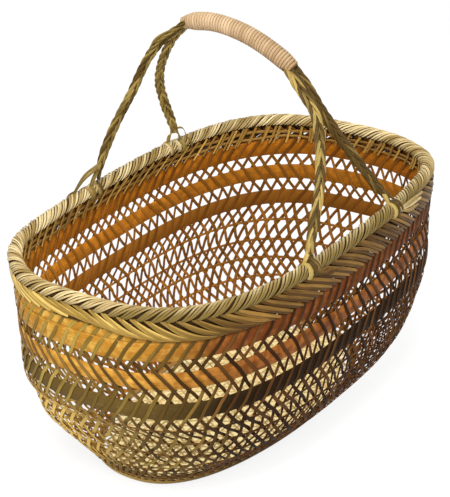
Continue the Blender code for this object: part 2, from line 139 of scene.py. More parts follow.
def section(angle, height):
    """Points of the wall's middle surface at angles and heights."""
    level = height / RIM_HEIGHT
    power = 2 / squareness_at(level)
    cosine = np.cos(angle)
    sine = np.sin(angle)
    shift = np.maximum(0, (SHIFT_START_SHARE - level) / SHIFT_START_SHARE)
    x = MOUTH_HALF_LENGTH * length_share_at(level) * np.sign(cosine) * np.abs(cosine) ** power
    y = MOUTH_HALF_WIDTH * width_share_at(level) * np.sign(sine) * np.abs(sine) ** power
    return np.stack((x + BASE_SHIFT[0] * shift, y + BASE_SHIFT[1] * shift, height + 0 * x), -1)


def run_along(points):
    """Length of a path up to each of its points."""
    return np.concatenate(((0,), np.cumsum(np.linalg.norm(np.diff(points, axis=0), axis=1))))


ANGLES = np.linspace(0, TURN, TABLE_STEPS + 1)
REACHED = run_along(section(ANGLES, np.full(TABLE_STEPS + 1, REFERENCE_SHARE * RIM_HEIGHT)))
GIRTH = REACHED[-1]

# Places where the hand-made wall stands out or in: share, reach, height, reach, heading, amount.
SWELLS = (
    (0.893, 0.060, 0.1995, 0.1100, (0.588, -0.809), 0.0052),
    (0.375, 0.060, 0.1995, 0.0600, (-0.588, 0.809), 0.0045),
    (0.640, 0.130, 0.0000, 0.0550, (-0.300, -0.954), -0.0035),
    (0.430, 0.070, 0.0600, 0.0300, (-1.000, 0.000), 0.0035),
    (0.440, 0.060, 0.1220, 0.0280, (-1.000, 0.000), -0.0030),
)


def ring_shares(count):
    """Even shares of the girth, once round."""
    return np.arange(count) / count


def apart(share, place):
    """Distance round the girth between shares and a place."""
    return np.abs((share - place + 0.5) % 1 - 0.5)


def middle(share, height):
    """Points of the wall's middle at shares of the girth and heights."""
    share, height = np.broadcast_arrays(np.asarray(share, float), np.asarray(height, float))
    angle = np.interp(share - np.floor(share), REACHED / GIRTH, ANGLES)
    points = section(angle, height)
    for place, reach, level, rise, heading, amount in SWELLS:
        bell = np.cos(math.pi / 2 * np.minimum(1, apart(share, place) / reach)) ** 2
        bell = bell * np.cos(math.pi / 2 * np.minimum(1, np.abs(height - level) / rise)) ** 2
        points = points + (bell * amount)[..., None] * np.array((*heading, 0.0))
    return points


def smooth_step(value, low, high):
    """Smooth rise from 0 at low to 1 at high."""
    t = np.clip((value - low) / (high - low), 0, 1)
    return t * t * (3 - 2 * t)

def stretch(value, rise, fall):
    """1 between two smooth steps, each given as its start and end, and 0 outside them."""
    return smooth_step(value, *rise) * (1 - smooth_step(value, *fall))


def unit(v):
    """Vectors at unit length."""
    return v / np.linalg.norm(v, axis=-1, keepdims=True)


def along_wall(share, height):
    """Directions level along the wall, not at unit length."""
    return middle(share + SHARE_STEP, height) - middle(share - SHARE_STEP, height)


def wall_normal(share, height):
    """Outward unit normals of the wall."""
    low = np.maximum(0, height - HEIGHT_STEP)
    high = np.minimum(RIM_HEIGHT, height + HEIGHT_STEP)
    return unit(np.cross(along_wall(share, height), middle(share, high) - middle(share, low)))


rng = np.random.default_rng(SEED)


def jitter(amount):
    """Random number that lies evenly round zero, over a range of the given amount."""
    return amount * (rng.random() - 0.5)


class Lines:
    """Lines of points that one piece is swept along."""

    def __init__(self):
        self.points = []
        self.over = []
        self.values = {"tone": [], "wide": [], "zone": []}
        self.edges = []
        self.count = 0

    def add(self, points, over, tone=None, wide=1.0, zone=0.0, closed=False):
        """Add one line: its points, the direction it faces, and its values."""
        n = len(points)
        tone = rng.random() if tone is None else tone
        self.points.append(points)
        self.over.append(unit(over))
        for key, value in (("tone", tone), ("wide", wide), ("zone", zone)):
            self.values[key].append(np.full(n, value, float))
        first = self.count
        self.edges += [(first + i, first + i + 1) for i in range(n - 1)]
        if closed:
            self.edges.append((first + n - 1, first))
        self.count += n

    def lay(self, share, height, offset, facing=1, **values):
        """Add one line on the wall, at offsets outwards from its middle."""
        normal = wall_normal(share, height)
        points = middle(share, height) + np.asarray(offset)[..., None] * normal
        self.add(points, facing * normal, **values)

    def mesh(self, name):
        """Edges-only mesh with the values on its points."""
        mesh = bpy.data.meshes.new(name)
        mesh.from_pydata(np.concatenate(self.points).tolist(), self.edges, [])
        over = mesh.attributes.new("over", "FLOAT_VECTOR", "POINT")
        over.data.foreach_set("vector", np.concatenate(self.over).astype(np.float32).ravel())
        for key, values in self.values.items():
            layer = mesh.attributes.new(key, "FLOAT", "POINT")
            layer.data.foreach_set("value", np.concatenate(values).astype(np.float32))
        return mesh


def add_node(tree, kind, inputs=(), **settings):
    """Node with its settings; each input takes a socket to link, a value or a colour."""
    node = tree.nodes.new(kind)
    for key, value in settings.items():
        setattr(node, key, value)
    for key, value in dict(inputs).items():
        socket = node.inputs[key]
        if isinstance(value, bpy.types.NodeSocket):
            tree.links.new(value, socket)
        else:
            socket.default_value = (*value, 1) if socket.type == "RGBA" else value
    return node


def sweep_tree():
    """Tree that sweeps a split-bamboo profile along the lines of a mesh."""
    tree = bpy.data.node_groups.new("split_bamboo", "GeometryNodeTree")
    sockets = (("Lines", "Geometry"), ("Width", "Float"), ("Thickness", "Float"),
               ("Round", "Float"), ("Material", "Material"))
    for name, kind in sockets:
        tree.interface.new_socket(name, in_out="INPUT", socket_type="NodeSocket" + kind)
    tree.interface.new_socket("Strands", in_out="OUTPUT", socket_type="NodeSocketGeometry")
    start = add_node(tree, "NodeGroupInput").outputs

    def named(key, kind="FLOAT"):
        node = add_node(tree, "GeometryNodeInputNamedAttribute", {"Name": key}, data_type=kind)
        return node.outputs["Attribute"]

    def store(geometry, key, value, kind="FLOAT", domain="POINT"):
        inputs = {"Geometry": geometry, "Name": key, "Value": value}
        settings = {"data_type": kind, "domain": domain}
        node = add_node(tree, "GeometryNodeStoreNamedAttribute", inputs, **settings)
        return node.outputs["Geometry"]

    curve = add_node(tree, "GeometryNodeMeshToCurve", {"Mesh": start["Lines"]}).outputs["Curve"]
    inputs = {"Curve": curve, "Normal": named("over", "FLOAT_VECTOR")}
    facing = add_node(tree, "GeometryNodeSetCurveNormal", inputs, mode="FREE")
    length = add_node(tree, "GeometryNodeSplineParameter").outputs["Length"]
    path = store(facing.outputs["Curve"], "run", length)

    inputs = {"Width": start["Thickness"], "Height": start["Width"]}
    box = add_node(tree, "GeometryNodeCurvePrimitiveQuadrilateral", inputs)
    inputs = {"Curve": box.outputs["Curve"], "Radius": start["Round"], "Count": 1}
    rounded = add_node(tree, "GeometryNodeFilletCurve", inputs, mode="POLY")
    position = add_node(tree, "GeometryNodeInputPosition").outputs["Position"]
    split = add_node(tree, "ShaderNodeSeparateXYZ", {"Vector": position}).outputs
    profile = store(rounded.outputs["Curve"], "side", split["X"])
    profile = store(profile, "cross", split["Y"])

    inputs = {"Curve": path, "Profile Curve": profile, "Scale": named("wide"), "Fill Caps": True}
    tube = add_node(tree, "GeometryNodeCurveToMesh", inputs).outputs["Mesh"]
    uv = add_node(tree, "ShaderNodeCombineXYZ", {"X": named("run"), "Y": named("cross")})
    mapped = store(tube, "UVMap", uv.outputs["Vector"], "FLOAT2", "CORNER")
    inputs = {"Geometry": mapped, "Material": start["Material"]}
    painted = add_node(tree, "GeometryNodeSetMaterial", inputs)
    add_node(tree, "NodeGroupOutput", {"Strands": painted.outputs["Geometry"]})
    return tree


SWEEP = sweep_tree()
SHARP_ANGLE = math.radians(50)


def add_object(name, data):
    """Object in the scene."""
    item = bpy.data.objects.new(name, data)
    bpy.context.scene.collection.objects.link(item)
    return item


def make_piece(name, lines, size, material, slot, *nodes, round_share=0.35):
    """Sweep lines into split bamboo, keep it as a plain mesh and attach it to the frame."""
    carrier = add_object(name + "_lines", lines.mesh(name + "_lines"))
    modifier = carrier.modifiers.new("sweep", "NODES")
    modifier.node_group = SWEEP
    width, thickness = size
    rounding = thickness * round_share
    values = {"Width": width, "Thickness": thickness, "Round": rounding, "Material": material}
    for item in SWEEP.interface.items_tree:
        if item.in_out == "INPUT" and item.name in values:
            modifier[item.identifier] = values[item.name]
    graph = bpy.context.evaluated_depsgraph_get()
    mesh = bpy.data.meshes.new_from_object(carrier.evaluated_get(graph))
    mesh.name = name
    mesh.shade_smooth()
    mesh.set_sharp_from_angle(angle=SHARP_ANGLE)
    line_mesh = carrier.data
    bpy.data.objects.remove(carrier)
    bpy.data.meshes.remove(line_mesh)
    piece = add_object(name, mesh)
    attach(piece, "root")
    if nodes:
        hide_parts(*nodes)


# Materials

FIBRE_SCALE = (45, 2600, 60)
TONE_SHARE = 0.55
BLOTCH_SHARE = 0.45
BLOTCH_SCALE = 38
MOTTLE_SCALE = 150
FLECK_SCALE = 420
# The weathered near side, which is also painted shade: the way towards it, where it starts and
# ends, and its patchiness.
AGED_AND_SHADED_TOWARDS = (0.6, -0.8, 0.0)
AGED_AND_SHADED_RANGE = (-0.105, 0.015)
AGED_AND_SHADED_PATCHES = 0.07


def ramp(tree, factor, low, high):
    """Output of a ramp between two colours, each given with its position."""
    node = add_node(tree, "ShaderNodeValToRGB", {"Fac": factor})
    for element, (position, colour) in zip(node.color_ramp.elements, (low, high)):
        element.position = position
        element.color = (*colour, 1)
    return node.outputs["Color"]


def maths(tree, operation, *values):
    """Output of a math node on sockets or numbers."""
    return add_node(tree, "ShaderNodeMath", enumerate(values), operation=operation).outputs[0]


def mix(tree, factor, first, second):
    """Output of a mix of two colours or colour sockets."""
    inputs = {"Factor": factor, 6: first, 7: second}
    return add_node(tree, "ShaderNodeMix", inputs, data_type="RGBA").outputs[2]


def fade(tree, value, low, high):
    """Output of a smooth step on a socket."""
    inputs = {"Value": value, "From Min": low, "From Max": high}
    node = add_node(tree, "ShaderNodeMapRange", inputs, interpolation_type="SMOOTHSTEP")
    return node.outputs["Result"]


def noise(tree, place, scale, detail):
    """Output of a noise texture."""
    inputs = {"Vector": place, "Scale": scale, "Detail": detail}
    return add_node(tree, "ShaderNodeTexNoise", inputs).outputs["Fac"]


def attribute(tree, name):
    """Output of a value kept on the mesh."""
    return add_node(tree, "ShaderNodeAttribute", attribute_name=name).outputs["Fac"]


def dimmed(colour, share):
    """Colour at a share of its brightness."""
    return tuple(c * share for c in colour)


def bamboo(name, light, dark, back, aged_and_shaded=None, roughness=0.42, streak=0.5, fleck=0.0,
           shine=0.35, mottle=0.0, light_and_shade=None):
    """Split bamboo: fibres along the strip, a tone for each strip, a warmer inner face.

    The weathered-side colours are its light and dark, which also paint that side's shade; the last
    colour is painted light and shade, laid on where the mesh's mask value says.
    """
    material = bpy.data.materials.new(name)
    material.use_nodes = True
    tree = material.node_tree
    tone = attribute(tree, "tone")
    place = add_node(tree, "ShaderNodeTexCoord").outputs["Object"]
    uv = add_node(tree, "ShaderNodeUVMap", uv_map="UVMap").outputs["UV"]
    own = add_node(tree, "ShaderNodeCombineXYZ", {"Z": tone}).outputs["Vector"]
    shifted = add_node(tree, "ShaderNodeVectorMath", {0: uv, 1: own}, operation="ADD")
    inputs = {"Vector": shifted.outputs["Vector"], "Scale": FIBRE_SCALE}
    fibres = add_node(tree, "ShaderNodeMapping", inputs).outputs["Vector"]
    grain = noise(tree, fibres, 1, 4)
    blotch = noise(tree, place, BLOTCH_SCALE, 3)
    centre = -0.5 * (0.1 + streak + BLOTCH_SHARE) + 0.05
    mixed = maths(tree, "MULTIPLY_ADD", tone, TONE_SHARE, centre)
    mixed = maths(tree, "MULTIPLY_ADD", grain, streak, mixed)
    mixed = maths(tree, "MULTIPLY_ADD", blotch, BLOTCH_SHARE, mixed)
    if mottle:
        patches = noise(tree, place, MOTTLE_SCALE, 3)
        mixed = maths(tree, "MULTIPLY_ADD", patches, mottle, mixed)
        mixed = maths(tree, "ADD", mixed, -0.5 * mottle)
    face = ramp(tree, mixed, (0.12, dark), (0.72, light))
    inside = ramp(tree, mixed, (0.15, dimmed(back, 0.5)), (0.7, back))
    if aged_and_shaded:
        # Painted shade with weathering: the colour darkens towards the near side.
        inputs = {0: place, 1: AGED_AND_SHADED_TOWARDS}
        slope = add_node(tree, "ShaderNodeVectorMath", inputs, operation="DOT_PRODUCT")
        patchy = maths(tree, "MULTIPLY_ADD", blotch, AGED_AND_SHADED_PATCHES, -0.5 * AGED_AND_SHADED_PATCHES)
        reach = maths(tree, "ADD", slope.outputs["Value"], patchy)
        age_and_shade = fade(tree, reach, *AGED_AND_SHADED_RANGE)
        face = mix(tree, age_and_shade, face, ramp(tree, mixed, (0.18, aged_and_shaded[1]), (0.78, aged_and_shaded[0])))
        # Painted light: inner faces away from the near side get a brighter ramp.
        pale = ramp(tree, mixed, (0.15, dimmed(back, 0.68)), (0.7, dimmed(back, 1.32)))
        inside = mix(tree, age_and_shade, pale, inside)
    result = mix(tree, maths(tree, "LESS_THAN", attribute(tree, "side"), 0.0), face, inside)
    if fleck:
        flecks = noise(tree, place, FLECK_SCALE, 2)
        mask = ramp(tree, flecks, (0.60, (0, 0, 0)), (0.70, (1, 1, 1)))
        result = mix(tree, maths(tree, "MULTIPLY", mask, fleck), result, dimmed(dark, 0.35))
    # Painted light and shade: a colour laid on where the mesh's mask value says.
    if light_and_shade:
        result = mix(tree, attribute(tree, "zone"), result, light_and_shade)
    inputs = {"Strength": 0.35, "Distance": 0.0003, "Height": grain}
    bump = add_node(tree, "ShaderNodeBump", inputs)
    shader = tree.nodes["Principled BSDF"]
    shader.inputs["Roughness"].default_value = roughness
    shader.inputs["Specular IOR Level"].default_value = shine
    tree.links.new(result, shader.inputs["Base Color"])
    tree.links.new(bump.outputs["Normal"], shader.inputs["Normal"])
    return material


# The last colour of each strip material is painted light at the low left end.
STRIP = bamboo(
    "strip_olive", (0.34, 0.25, 0.052), (0.088, 0.052, 0.010), (0.33, 0.128, 0.016),
    aged_and_shaded=((0.150, 0.062, 0.016), (0.024, 0.009, 0.0022)), roughness=0.6, shine=0.05,
    light_and_shade=(0.62, 0.42, 0.105),
)
STRIP_BROWN = bamboo(
    "strip_brown", (0.21, 0.120, 0.028), (0.045, 0.023, 0.006), (0.235, 0.083, 0.011),
    aged_and_shaded=((0.110, 0.044, 0.012), (0.018, 0.007, 0.0020)), roughness=0.6, shine=0.05,
    light_and_shade=(0.55, 0.36, 0.085),
)
BAND_TOP = bamboo(
    "band_bright", (0.58, 0.37, 0.078), (0.30, 0.135, 0.014), (0.54, 0.180, 0.012),
    aged_and_shaded=((0.33, 0.110, 0.022), (0.11, 0.029, 0.006)), streak=0.8, shine=0.05, mottle=1.1,
)
BAND = bamboo(
    "band_gold", (0.62, 0.36, 0.068), (0.29, 0.120, 0.012), (0.46, 0.165, 0.014),
    aged_and_shaded=((0.37, 0.135, 0.026), (0.11, 0.032, 0.006)), streak=0.8, shine=0.05, mottle=1.1,
)
BAND_DARK = bamboo(
    "band_dark", (0.32, 0.215, 0.072), (0.085, 0.052, 0.012), (0.40, 0.150, 0.018),
    aged_and_shaded=((0.058, 0.028, 0.007), (0.012, 0.006, 0.0018)), streak=0.8, roughness=0.6,
    shine=0.05, mottle=0.4,
)
HOOP = bamboo(
    "hoop_brown", (0.30, 0.18, 0.040), (0.10, 0.052, 0.011), (0.42, 0.165, 0.018),
    aged_and_shaded=((0.12, 0.050, 0.014), (0.024, 0.009, 0.003)), roughness=0.6, shine=0.05,
)
# The dark colour last given here is painted shade on the roll's outer underside.
STRAW = bamboo(
    "rim_straw", (0.90, 0.75, 0.43), (0.24, 0.155, 0.042), (0.50, 0.34, 0.10),
    roughness=0.4, streak=0.75, fleck=0.3, shine=0.2, light_and_shade=(0.13, 0.085, 0.015),
)
FLANK = bamboo(
    "flank_straw", (0.72, 0.52, 0.15), (0.22, 0.135, 0.028), (0.17, 0.10, 0.025),
    aged_and_shaded=((0.29, 0.160, 0.036), (0.060, 0.028, 0.006)), streak=0.8, fleck=0.25, shine=0.08,
)
INNER = bamboo(
    "inner_ends", (0.72, 0.46, 0.105), (0.30, 0.160, 0.034), (0.3, 0.2, 0.05), shine=0.15,
)
LEG = bamboo(
    "leg_olive", (0.43, 0.31, 0.088), (0.060, 0.034, 0.007), (0.43, 0.31, 0.088),
    roughness=0.42, streak=0.85, fleck=0.25, shine=0.1,
)
CANE = bamboo(
    "grip_cane", (0.635, 0.48, 0.31), (0.27, 0.17, 0.085), (0.45, 0.27, 0.14),
    roughness=0.5, streak=0.5, shine=0.15,
)
BASE = bamboo("base_pale", (0.90, 0.66, 0.28), (0.36, 0.20, 0.05), (0.90, 0.66, 0.28), shine=0.1)
FOOT = bamboo(
    "foot_olive", (0.46, 0.31, 0.070), (0.16, 0.095, 0.018), (0.45, 0.25, 0.07), shine=0.15,
    aged_and_shaded=((0.130, 0.070, 0.020), (0.040, 0.018, 0.005)),
)
# Painted shade: the core and lining are near black so that gaps between strands read dark.
CORE_SHADE = bamboo(
    "rim_core", (0.085, 0.045, 0.013), (0.028, 0.013, 0.004), (0.10, 0.060, 0.02), shine=0.05,
)


# The woven wall

def weave_offset(turns):
    """How far a right-leaning strip lies outside the hoops, after so many strip pitches."""
    count = len(PHASES)
    # The first band from the top has the right-leaning strips outside.
    signs = (-1.0) ** (np.arange(count) - PHASES.index(0.0))
    position = np.interp(turns, PHASES, np.arange(count))
    whole = np.clip(np.floor(position).astype(int), 0, count - 2)
    swing = np.cos(math.pi * (position - whole))
    wave = np.sign(swing) * np.minimum(1, np.abs(swing) * WEAVE_FLATNESS)
    return signs[whole] * wave * WEAVE_DEPTH


def strip_lines(lean):
    """All strips that lean one way, from the rim down to the base."""
    lines = Lines()
    heights = np.linspace(STRIP_TOP, STRIP_BOTTOM, STRIP_STEPS)
    turns = phase_at(heights / RIM_HEIGHT)
    offsets = weave_offset(turns) * lean
    widened = 1 + LOW_WIDENING * np.clip((WIDENING_TOP - heights) / WIDENING_FADE, 0, 1)
    slimmed = 0.92 + 0.08 * smooth_step(heights, *SLIM_HEIGHTS)
    # Painted light: strips at the low left end turn paler and golden.
    lit_below = 0.12 + 0.73 * smooth_step(LIT_TOP - heights, *LIT_TOP_FADE)
    lit_above = 0.15 + 0.85 * smooth_step(heights, *LIT_LOW_HEIGHTS)
    # Painted shade: strips darken low in the front left corner above the foot.
    low = 1 - smooth_step(heights, *SHADE_CORNER_HEIGHTS)
    for number in range(STRIPS_PER_WAY):
        waver = sum(
            reach * np.sin(TURN * (heights / length + rng.random()))
            for reach, length in STRIP_WAVERS
        )
        share = (number + lean * turns) / STRIPS_PER_WAY + waver / GIRTH
        wide = widened * (1 + jitter(0.16)) * slimmed
        end = 1 - smooth_step(apart(share, LIT_END), *LIT_REACH)
        corner = 1 - smooth_step(np.abs(share % 1 - SHADE_CORNER), *SHADE_CORNER_REACH)
        tone = rng.random() - SHADE_CORNER_DEPTH * low * corner
        zone = lit_below * end * lit_above * (1 - low * corner)
        lines.lay(share, heights, offsets, tone=tone, wide=wide, zone=zone)
    return lines


def ring_lines(height, offset=0.0):
    """One closed hoop round the wall."""
    lines = Lines()
    lines.lay(ring_shares(RING_STEPS), height, offset, closed=True)
    return lines


def high_band_lines():
    """The strip of band that reaches higher at the left end."""
    lines = Lines()
    lines.lay(np.linspace(*HIGH_BAND_SHARES, 90), HIGH_BAND_HEIGHT, HIGH_BAND_OFFSET, tone=0.5)
    return lines


make_piece("weave_right", strip_lines(1), STRIP_SIZE, STRIP, "strip_olive", "strips_outside")
make_piece("weave_left", strip_lines(-1), STRIP_SIZE, STRIP_BROWN, "strip_olive", "strips_inside")
# Width, rise over the middle height, looks and slot of each band from the top.
BANDS = (
    (0.0162, 0.0007, BAND_TOP, "band_gold"),
    (0.0147, 0, BAND, "band_gold"),
    (0.0147, 0, BAND_DARK, "band_dark"),
)
for number, (width, rise, material, slot) in enumerate(BANDS, 1):
    height = RIM_HEIGHT * BAND_MIDDLE_SHARES[number - 1] + rise
    size = (width, BAND_THICKNESS)
    make_piece(f"hoop_wide_{number}", ring_lines(height), size, material, slot, f"band_{number}")
make_piece("hoop_wide_high", high_band_lines(), HIGH_BAND_SIZE, BAND_TOP, "band_gold")
for number, share in enumerate(HOOP_MIDDLE_SHARES, 1):
    lines = ring_lines(RIM_HEIGHT * share)
    make_piece(f"hoop_thin_{number}", lines, HOOP_SIZE, HOOP, "hoop_brown", f"hoop_{number}")

# The rim

RIM_BUNDLES = 92
ROLL_RADIUS = 0.0052
ROLL_START = math.radians(-55)
ROLL_END = math.radians(205)
ROLL_ADVANCE = 2.8
# Place of each strip across its bundle, and how far it lifts.
ROLL_STRIPS = ((-0.33, 0.0000), (0.0, 0.0004), (0.33, 0.0001))
ROLL_STRIP_SIZE = (0.0019, 0.0010)
FLANK_TOP = 0.1957
FLANK_STRIP_SIZE = (0.0020, 0.0008)
# Place, lift and width of each strip of a bundle of the edging.
FLANK_LOOSE = ((-0.27, 0.0000, 0.95), (0.0, 0.0004, 1.05), (0.27, 0.0001, 0.95))
FLANK_TIGHT = ((-0.22, 0.0000, 1.50), (0.22, 0.0003, 1.50))
INNER_TOP = 0.1965
INNER_BOTTOM = 0.1772
INNER_STRIP_SIZE = (0.0025, 0.0006)
CORE_SIZE = (0.0088, 0.0088)
CORE_ROUND_SHARE = 0.3
LINING_SIZE = (0.0038, 0.0006)
LEVEL_STEPS = 240
# Shares of the girth over which the painted shade on the roll's outer underside is the near
# side's, deeper one.
SHADED_ROLL_SHARES = ((0.50, 0.54), (0.82, 0.88))
# Shares over which the edging is loose, round the front corner. It is tight elsewhere.
LOOSE_SHARES = ((0.445, 0.475), (0.59, 0.62))
# How much higher the edging ends at the left end, and over which shares.
EDGING_RISE = 0.0095
EDGING_SHARES = ((0.36, 0.42), (0.47, 0.60))
# Height, offset, width, and first and last share of each dark strip behind the edging, which is
# painted shade for its gaps.
LINING = (
    (0.1935, 0.0016, 1.0, 0, 1),
    (0.1900, 0.0018, 0.9, 0, 1),
    (0.1868, 0.0016, 0.8, 0.48, 1.1),
)


def rim_frame(share):
    """Centres of the rim roll and the outward directions there."""
    along = unit(along_wall(share, RIM_HEIGHT))
    out = np.stack((along[..., 1], -along[..., 0], 0 * along[..., 0]), -1)
    return middle(share, RIM_HEIGHT), unit(out)


def roll_points(share, angle, radius):
    """Points and outward directions on the rim roll."""
    centre, out = rim_frame(share)
    spoke = out * np.cos(angle)[..., None]
    spoke[..., 2] += np.sin(angle)
    return centre + spoke * np.asarray(radius)[..., None], spoke


def roll_lines():
    """Slanted leaf-like bundles of strips that wrap over the rim."""
    lines = Lines()
    t = np.linspace(0, 1, 18)
    angle = ROLL_START + (ROLL_END - ROLL_START) * t
    opened = smooth_step(t, 0.0, 0.55)
    tip = smooth_step(t, 0.0, 0.16) * smooth_step(1 - t, 0.0, 0.12)
    for bundle in range(RIM_BUNDLES):
        tone = rng.random()
        wander = jitter(0.16)
        front = stretch(bundle / RIM_BUNDLES, *SHADED_ROLL_SHARES)
        tight = 1 - stretch(bundle / RIM_BUNDLES, *LOOSE_SHARES)
        spread = (0.50 + 0.27 * tight) + (0.50 - 0.27 * tight) * opened
        # Painted shade on the outer underside of the roll, where each strand starts.
        shade_start = 1 - smooth_step(t, 0.04 + 0.22 * front, 0.40 + 0.36 * front)
        size = 1 + jitter(0.10)
        for place, lift in ROLL_STRIPS:
            advance = ROLL_ADVANCE * (1 + jitter(0.04))
            share = (bundle + place * spread * size + wander + advance * t) / RIM_BUNDLES
            radius = ROLL_RADIUS + lift + 0.0005 * np.sin(math.pi * t) + 0.0003 * rng.random()
            points, over = roll_points(share, angle, radius)
            wide = (0.55 + 0.45 * tip) * (0.82 + 0.18 * opened) * (1 + jitter(0.1))
            shade = 0.45 * tone + 0.55 * rng.random()
            zone = (0.70 + 0.28 * front) * shade_start
            lines.add(points, over, tone=shade, wide=wide, zone=zone)
    return lines


def flank_lines():
    """Long bundles of strips that fall from the roll and run out along the lower edge."""
    lines = Lines()
    t = np.linspace(0, 1, 20)
    curved = np.sin(0.5 * math.pi * np.minimum(1, t * 1.06)) ** 1.1
    for bundle in range(RIM_BUNDLES):
        tone = rng.random()
        tight = 1 - stretch(bundle / RIM_BUNDLES, *LOOSE_SHARES)
        wander = jitter(0.14)
        bottom = 0.1792 - 0.0024 * tight + jitter(0.0010)
        bottom += EDGING_RISE * stretch((bundle + 2.4) / RIM_BUNDLES, *EDGING_SHARES)
        height = FLANK_TOP - (FLANK_TOP - bottom) * (curved * (1 - tight) + t * tight)
        opened = (0.55 + 0.25 * tight) + (0.45 - 0.25 * tight) * smooth_step(t, 0.05, 0.45)
        slim = 0.72 + 0.28 * smooth_step(t, 0, 0.25)
        slim = slim * (1 - (0.45 - 0.25 * tight) * smooth_step(t, 0.82, 1.0))
        for place, lift, wide in (FLANK_TIGHT if tight > 0.5 else FLANK_LOOSE):
            advance = (3.7 - 0.75 * tight) * (1 + jitter(0.05))
            share = (bundle + place * opened + wander - 0.15 + advance * t) / RIM_BUNDLES
            offset = 0.0042 + lift - 0.0024 * t ** 1.4 - 0.0012 * np.maximum(0, 1 - t / 0.10)
            width = wide * slim * (1 + jitter(0.12))
            # Painted highlight: the strip on one side of each bundle is lighter, the rest darker.
            shade = 0.30 * tone + 0.38 * rng.random() + (0.4 if place > 0 else -0.10)
            lines.lay(share, height, offset, tone=shade, wide=width)
    return lines


def rim_core_lines():
    """Plain hoop inside the roll, painted dark as the shade between its strands."""
    lines = Lines()
    lines.add(*rim_frame(ring_shares(LEVEL_STEPS)), closed=True)
    return lines


def lining_lines():
    """Strips that run level behind the edging, painted dark as the shade in its gaps."""
    lines = Lines()
    for height, offset, wide, first, last in LINING:
        share = first + (last - first) * np.arange(LEVEL_STEPS) / LEVEL_STEPS
        level = height + 0.0004 * np.sin(TURN * (share * 23 + rng.random()))
        lines.lay(share, level, offset, wide=wide, closed=last - first == 1)
    return lines


def inner_lines():
    """Slanted ends of the roll's strips on the inside, over two level strips."""
    lines = Lines()
    t = np.linspace(0, 1, 9)
    for bundle in range(RIM_BUNDLES):
        for twin in ((0.0,) if rng.random() < 0.6 else (-0.12, 0.14)):
            start = bundle + twin + jitter(0.25)
            share = (start + (0.75 + 0.3 * rng.random()) * t) / RIM_BUNDLES
            height = INNER_TOP - (INNER_TOP - INNER_BOTTOM + jitter(0.003)) * t
            offset = -0.0042 + 0.0016 * t + 0.0004 * rng.random()
            lines.lay(share, height, offset, facing=-1, wide=1.0 - 0.3 * t)
    share = ring_shares(LEVEL_STEPS)
    for height, wide in ((0.1893, 1.2), (0.1830, 1.0)):
        level = height + 0.0008 * np.sin(TURN * (share * 17 + rng.random()))
        lines.lay(share, level, -0.0020, facing=-1, tone=0.0, wide=wide, closed=True)
    return lines


make_piece(
    "rim_core", rim_core_lines(), CORE_SIZE, CORE_SHADE, "rim_straw", round_share=CORE_ROUND_SHARE)
make_piece("rim_lining", lining_lines(), LINING_SIZE, CORE_SHADE, "flank_straw")
make_piece("rim_roll_strands", roll_lines(), ROLL_STRIP_SIZE, STRAW, "rim_straw", "rim_roll")
make_piece("rim_flank_strands", flank_lines(), FLANK_STRIP_SIZE, FLANK, "flank_straw", "rim_flank")
make_piece("rim_inner_ends", inner_lines(), INNER_STRIP_SIZE, INNER, "rim_straw")

# The handle

GRIP_TOP_HEIGHT = 0.3585
GRIP_SHIFT_X = 0.0140
GRIP_SHIFT_Y = -0.0030
GRIP_HALF_SPAN = 0.0670
GRIP_DROP = 0.0340
GRIP_ALONG_SHARES = (1.0, 0.836, 0.433, -0.09, -0.53, -0.896, -1.0)
GRIP_DROP_SHARES = (0.72, 0.27, 0.03, 0.118, 0.44, 0.91, 1.16)
GRIP_CANE_RANGE = (0.165, 0.905)
GRIP_CORE_RADIUS = 0.0063
GRIP_TURNS = 43
GRIP_CANE_SIZE = (0.0026, 0.0014)
GRIP_CORE_SIZE = (0.0130, 0.0130)
CANE_ROUND_SHARE = 0.45
LEG_SPREAD = 0.0054
PHOTO_RIGHT = (0.588, -0.809, 0)
# How far the top, the bends and the foot of each leg sit to the photograph's right.
LEG_NUDGES = {
    "leg_a": (-0.0060, -0.0022, 0.0030, 0.0050, 0.0055, 0.0064, 0.0060),
    "leg_b": (-0.0008, 0.0000, 0.0003, 0.0030, 0.0040, 0.0040, 0.0030),
    "leg_c": (-0.0014, 0.0026, 0.0019, 0.0007, 0.0013, 0.0007, 0.0006),
    "leg_d": (-0.0015, 0.0004, 0.0, 0.0, -0.0012, -0.0036, -0.0050),
}
# Lowest tone of a leg's strands, its range, and how much the plait spreads below the grip. The
# tones are raised on leg_b as painted light, and lowered on leg_c and leg_d as painted shade.
LEG_LIGHT_AND_LOOKS = {
    "leg_a": (0.00, 1.05, 0.40),
    "leg_b": (0.40, 0.75, 0.15),
    "leg_c": (-0.40, 1.45, 0.0),
    "leg_d": (-0.45, 1.65, 0.0),
}
# Stray strands of a plait: start and end along the leg, and how far they stand out.
STRAYS = {"leg_a": ((0.006, 0.046, -0.0070), (0.012, 0.040, -0.0086))}
# Place of each leg's foot, as a share of the mouth's half length.
LEG_FOOT_SHARES = {"leg_a": -0.199, "leg_b": 0.393, "leg_c": -0.338, "leg_d": 0.341}
